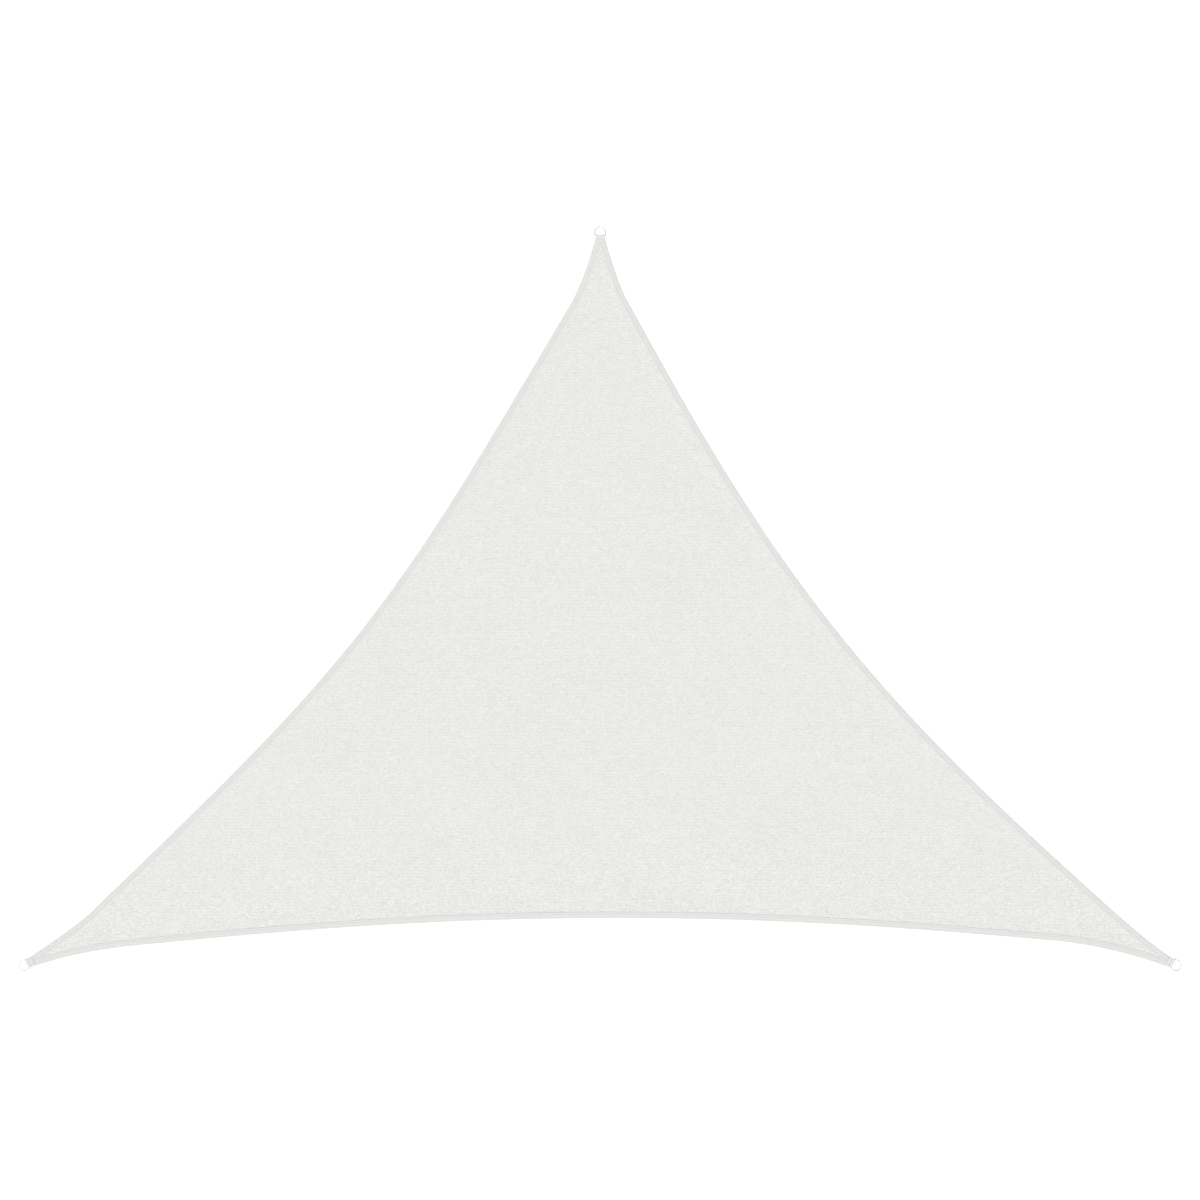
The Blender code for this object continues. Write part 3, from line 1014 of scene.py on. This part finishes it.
class SewTapes(bpy.types.Operator):
    """Sew two rows of stitches through each edge tape, seen on its face and on its underside"""

    bl_idname = "sail.sew_tapes"
    bl_label = "Tape seams"

    def execute(self, context):
        sizes = context.scene.sail_sizes
        layers = layers_of(sizes)
        model = stitch_model(sizes.stitch_length, sizes.thread_radius)
        model.data.transform(Matrix.Translation((sizes.stitch_pitch / 2, 0.0, 0.0)))
        material = thread_finish(context.scene.sail_finish)
        faces = ((layers.tape_height + THREAD_RISE, True), (THREAD_SINK, False))
        for name, edge in EDGES.items():
            stations = edge_stations(edge, sizes)
            rows = []
            for depth in (sizes.outer_seam, sizes.inner_seam):
                for height, upper in faces:
                    line = [tape_point(station, depth, height, upper, sizes) for station in stations]
                    rows.append(sew_row(model, line, sizes.stitch_pitch))
            seams = join(f"tape_seams_{name}", rows)
            finish_piece(seams, material)
        discard(model)
        return {"FINISHED"}


# ---------------------------------------------------------------- the corner tabs
def tab_path(sizes, layers):
    """The webbing's middle line from its side: under the layers, round the bar and back."""
    half = sizes.webbing_thickness / 2
    radius = sizes.wire_radius + BAR_CLEARANCE + half
    upper = layers.tab_lift + layers.tape_height + GAP + half
    crown = layers.bar_height + radius
    run = sizes.webbing_leg - WRAP_DOWN_LENGTH
    path = [(-sizes.webbing_leg + run * i / LEG_STEPS, half) for i in range(LEG_STEPS)]
    path += [(-WRAP_DOWN_LENGTH * (1 - i / HEEL_STEPS), half) for i in range(HEEL_STEPS)]
    for i in range(WRAP_STEPS + 1):
        angle = math.pi * (i / WRAP_STEPS - 0.5)
        path.append((radius * math.cos(angle), layers.bar_height + radius * math.sin(angle)))
    for i in range(1, LEG_STEPS + 1):
        t = i / LEG_STEPS
        path.append((-WRAP_DOWN_LENGTH * t, crown + (upper - crown) * smooth(t)))
    path += [(-WRAP_DOWN_LENGTH - run * i / LEG_STEPS, upper) for i in range(1, LEG_STEPS + 1)]
    return path


def tab_model(sizes, layers):
    """One webbing loop, along +X with the ring's bar over the origin."""
    path = tab_path(sizes, layers)
    half = sizes.webbing_width / 2
    spots = [half * i / SIDE_STEPS for i in range(-SIDE_STEPS, SIDE_STEPS + 1)]
    rows = []
    for x, z in path:
        crown = WEBBING_CROWN if z > layers.bar_height else 0.0
        rows.append([(x, y, z + crown * (1 - (y / half) ** 2)) for y in spots])
    along = running([(x, 0.0, z) for x, z in path])
    tab = link("webbing_loop", strip_mesh("webbing_loop", rows, along, spots))
    thicken(tab, sizes.webbing_thickness, 0.0, rounding=WEBBING_ROUNDING)
    return tab


class MakeTabs(bpy.types.Operator):
    """Make the webbing tab that holds each ring"""

    bl_idname = "sail.make_tabs"
    bl_label = "Webbing tabs"

    def execute(self, context):
        sizes = context.scene.sail_sizes
        layers = layers_of(sizes)
        model = tab_model(sizes, layers)
        material = webbing_finish(context.scene.sail_finish)
        cut_length = running([(x, 0.0, z) for x, z in tab_path(sizes, layers)])[-1]
        for name, corner in corner_places(sizes).items():
            tab = copy_of(model, f"webbing_tab_{name}")
            place_at_corner(tab, corner)
            finish_piece(tab, material, BAND_SMOOTH_ANGLE)
            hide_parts(f"tab_{name}")
        discard(model)
        return {"FINISHED"}


def tack_model(sizes):
    """One bar tack: a close zigzag of thread across the webbing, along Y."""
    slant = math.atan2(sizes.tack_pitch / 2, sizes.tack_width)
    reach = sizes.tack_width / math.cos(slant)
    strokes = []
    for side in (-1, 1):
        stroke = stitch_model(reach, TACK_THREAD * sizes.thread_radius)
        turned = Matrix.Rotation(side * slant, 4, "Z")
        stroke.matrix_world = Matrix.Translation((0.0, side * sizes.tack_pitch / 4, 0.0)) @ turned
        strokes.append(stroke)
    zigzag = join("bar_tack", strokes)
    bpy.ops.object.transform_apply(location=True, rotation=True, scale=True)
    count = int((sizes.webbing_width - 2 * TACK_MARGIN) / sizes.tack_pitch)
    start = -(count - 1) * sizes.tack_pitch / 2
    zigzag.data.transform(Matrix.Translation((0.0, start, 0.0)))
    repeat(zigzag, count, (0.0, sizes.tack_pitch, 0.0))
    apply_modifiers(zigzag)
    return zigzag


class SewTabs(bpy.types.Operator):
    """Sew two bar tacks across each webbing tab, seen on its face and on its underside"""

    bl_idname = "sail.sew_tabs"
    bl_label = "Bar tacks"

    def execute(self, context):
        sizes = context.scene.sail_sizes
        layers = layers_of(sizes)
        model = tack_model(sizes)
        material = thread_finish(context.scene.sail_finish)
        face = layers.tab_lift + layers.tape_height + GAP + sizes.webbing_thickness
        heights = (face + WEBBING_CROWN + THREAD_RISE, THREAD_SINK)
        for name, corner in corner_places(sizes).items():
            tacks = []
            for x in TACK_PLACES:
                for z in heights:
                    tack = copy_of(model, "tack")
                    tack.matrix_world = Matrix.Translation((x, 0.0, z))
                    tacks.append(tack)
            tacks = join(f"bar_tacks_{name}", tacks)
            place_at_corner(tacks, corner)
            finish_piece(tacks, material)
        discard(model)
        return {"FINISHED"}


# ---------------------------------------------------------------- the rings
def carry(offset):
    """Extrude the selected end of the wire along a straight line."""
    bpy.ops.mesh.extrude_region_move(TRANSFORM_OT_translate={"value": offset})


def bend(steps, angle, centre):
    """Spin the selected end of the wire clockwise, seen from above, round an upright axis."""
    bpy.ops.mesh.spin(steps=steps, angle=angle, center=centre, axis=(0.0, 0.0, 1.0))


def ring_model(sizes, layers):
    """A circle of wire, carried along the bar, round both bends and the bow, and back."""
    side = layers.ring_radius - RING_BEND_RADIUS
    leg = sizes.ring_leg - RING_BEND_RADIUS
    bpy.ops.object.select_all(action="DESELECT")
    bpy.ops.mesh.primitive_circle_add(
        vertices=WIRE_SIDES,
        radius=sizes.wire_radius,
        location=(0.0, -side, 0.0),
        rotation=(math.pi / 2, 0.0, 0.0),
    )
    ring = bpy.context.object
    bpy.ops.object.transform_apply(location=True, rotation=True, scale=True)
    bpy.ops.object.mode_set(mode="EDIT")
    bpy.ops.mesh.select_mode(type="VERT")
    bpy.ops.mesh.select_all(action="SELECT")
    carry((0.0, 2 * side, 0.0))
    bend(BEND_STEPS, math.pi / 2, (RING_BEND_RADIUS, side, 0.0))
    carry((leg, 0.0, 0.0))
    bend(BOW_STEPS, math.pi, (sizes.ring_leg, 0.0, 0.0))
    carry((-leg, 0.0, 0.0))
    bend(BEND_STEPS, math.pi / 2, (RING_BEND_RADIUS, -side, 0.0))
    bpy.ops.mesh.select_all(action="SELECT")
    bpy.ops.mesh.remove_doubles(threshold=SAME_PLACE)
    bpy.ops.mesh.normals_make_consistent(inside=False)
    bpy.ops.object.mode_set(mode="OBJECT")
    tilt = Matrix.Rotation(layers.ring_tilt, 4, "Y")
    ring.matrix_world = Matrix.Translation((0.0, 0.0, layers.bar_height)) @ tilt
    return ring


class MakeRings(bpy.types.Operator):
    """Make the steel D-ring at each corner"""

    bl_idname = "sail.make_rings"
    bl_label = "Rings"

    def execute(self, context):
        sizes = context.scene.sail_sizes
        model = ring_model(sizes, layers_of(sizes))
        material = steel_finish(context.scene.sail_finish)
        for name, corner in corner_places(sizes).items():
            ring = copy_of(model, f"d_ring_{name}")
            place_at_corner(ring, corner)
            finish_piece(ring, material)
            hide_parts(f"ring_{name}")
        discard(model)
        return {"FINISHED"}


# ---------------------------------------------------------------- the stage
FRAME_WIDTH = 5.158  # of the surface that the camera sees
FRAME_MIDDLE = (0.0, -0.0047)
LENS = 70.0  # millimetres
SENSOR = 36.0  # millimetres
VIEW_DEPTH = 200.0  # that the camera sees
FLOOR_SIZE = 80.0
FLOOR_DROP = 0.6 * MM  # below the sail's underside, clear of its stitches
FLOOR_GLOW = 0.25
SUN_STRENGTH = 1.45
SUN_SPREAD = math.radians(60.0)
SUN_TURN = (math.radians(32.0), math.radians(-18.0), 0.0)
SKY_EDGE = 0.30
SKY_TOP = 1.63
SKY_FOCUS = 6.0  # how closely the brightness crowds round the top


def light_sky(world):
    """A soft pale sky that lights the sail mostly from overhead, and is seen as plain white."""
    world.use_nodes = True
    sky = Nodes(world.node_tree)
    background = sky.tree.nodes["Background"]
    background.inputs["Color"].default_value = WHITE
    ways = sky.node("ShaderNodeTexCoord").outputs["Generated"]
    height = sky.node("ShaderNodeSeparateXYZ", Vector=ways).outputs["Z"]
    crowd = sky.math("POWER", sky.math("MAXIMUM", height, 0.0), SKY_FOCUS)
    strength = sky.math("MULTIPLY_ADD", crowd, SKY_TOP - SKY_EDGE, SKY_EDGE)
    seen = sky.node("ShaderNodeLightPath").outputs["Is Camera Ray"]
    sky.feed(background.inputs["Strength"], sky.math("MAXIMUM", strength, seen))


class MakeStage(bpy.types.Operator):
    """Make the floor, the light and the camera, which looks straight down on the sail"""

    bl_idname = "sail.make_stage"
    bl_label = "Stage"

    def execute(self, context):
        scene = context.scene
        bpy.ops.object.select_all(action="DESELECT")
        bpy.ops.mesh.primitive_plane_add(size=FLOOR_SIZE, location=(0.0, 0.0, -FLOOR_DROP))
        floor = context.object
        floor.name = "floor"
        paint = Finish("pale_floor", 0.9)
        paint.shader.inputs["Base Color"].default_value = (*scene.sail_finish.floor_colour, 1.0)
        paint.shader.inputs["Specular IOR Level"].default_value = 0.0
        paint.shader.inputs["Emission Color"].default_value = WHITE
        paint.shader.inputs["Emission Strength"].default_value = FLOOR_GLOW
        floor.data.materials.append(paint.material)

        bpy.ops.object.light_add(type="SUN", rotation=SUN_TURN)
        sun = context.object
        sun.name = "soft_sun"
        sun.data.energy = SUN_STRENGTH
        sun.data.angle = SUN_SPREAD
        scene.world = bpy.data.worlds.new("pale_sky")
        light_sky(scene.world)

        distance = FRAME_WIDTH * LENS / SENSOR
        bpy.ops.object.camera_add(location=(*FRAME_MIDDLE, distance), rotation=(0.0, 0.0, 0.0))
        camera = context.object
        camera.name = "overhead_camera"
        camera.data.lens = LENS
        camera.data.sensor_width = SENSOR
        camera.data.clip_end = VIEW_DEPTH
        scene.camera = camera
        scene.view_settings.view_transform = "Standard"
        return {"FINISHED"}


# ---------------------------------------------------------------- the add-on
STEPS = (
    "make_cloth",
    "make_tapes",
    "sew_tapes",
    "make_tabs",
    "sew_tabs",
    "make_rings",
    "make_stage",
)


class SailPanel(bpy.types.Panel):
    """Sizes, finishes and steps of the sail"""

    bl_idname = "VIEW3D_PT_sail"
    bl_label = "Shade sail"
    bl_space_type = "VIEW_3D"
    bl_region_type = "UI"
    bl_category = "Sail"

    def draw(self, context):
        for step in STEPS:
            self.layout.operator(f"sail.{step}")
        for group in (context.scene.sail_sizes, context.scene.sail_finish):
            box = self.layout.box()
            for name in group.__annotations__:
                box.prop(group, name)


CLASSES = (
    SailSizes,
    SailFinish,
    MakeCloth,
    MakeTapes,
    SewTapes,
    MakeTabs,
    SewTabs,
    MakeRings,
    MakeStage,
    SailPanel,
)


def register():
    for each in CLASSES:
        bpy.utils.register_class(each)
    bpy.types.Scene.sail_sizes = PointerProperty(type=SailSizes)
    bpy.types.Scene.sail_finish = PointerProperty(type=SailFinish)


def unregister():
    del bpy.types.Scene.sail_finish
    del bpy.types.Scene.sail_sizes
    for each in reversed(CLASSES):
        bpy.utils.unregister_class(each)


def main():
    register()
    for step in STEPS:
        getattr(bpy.ops.sail, step)()


if __name__ == "__main__":
    main()
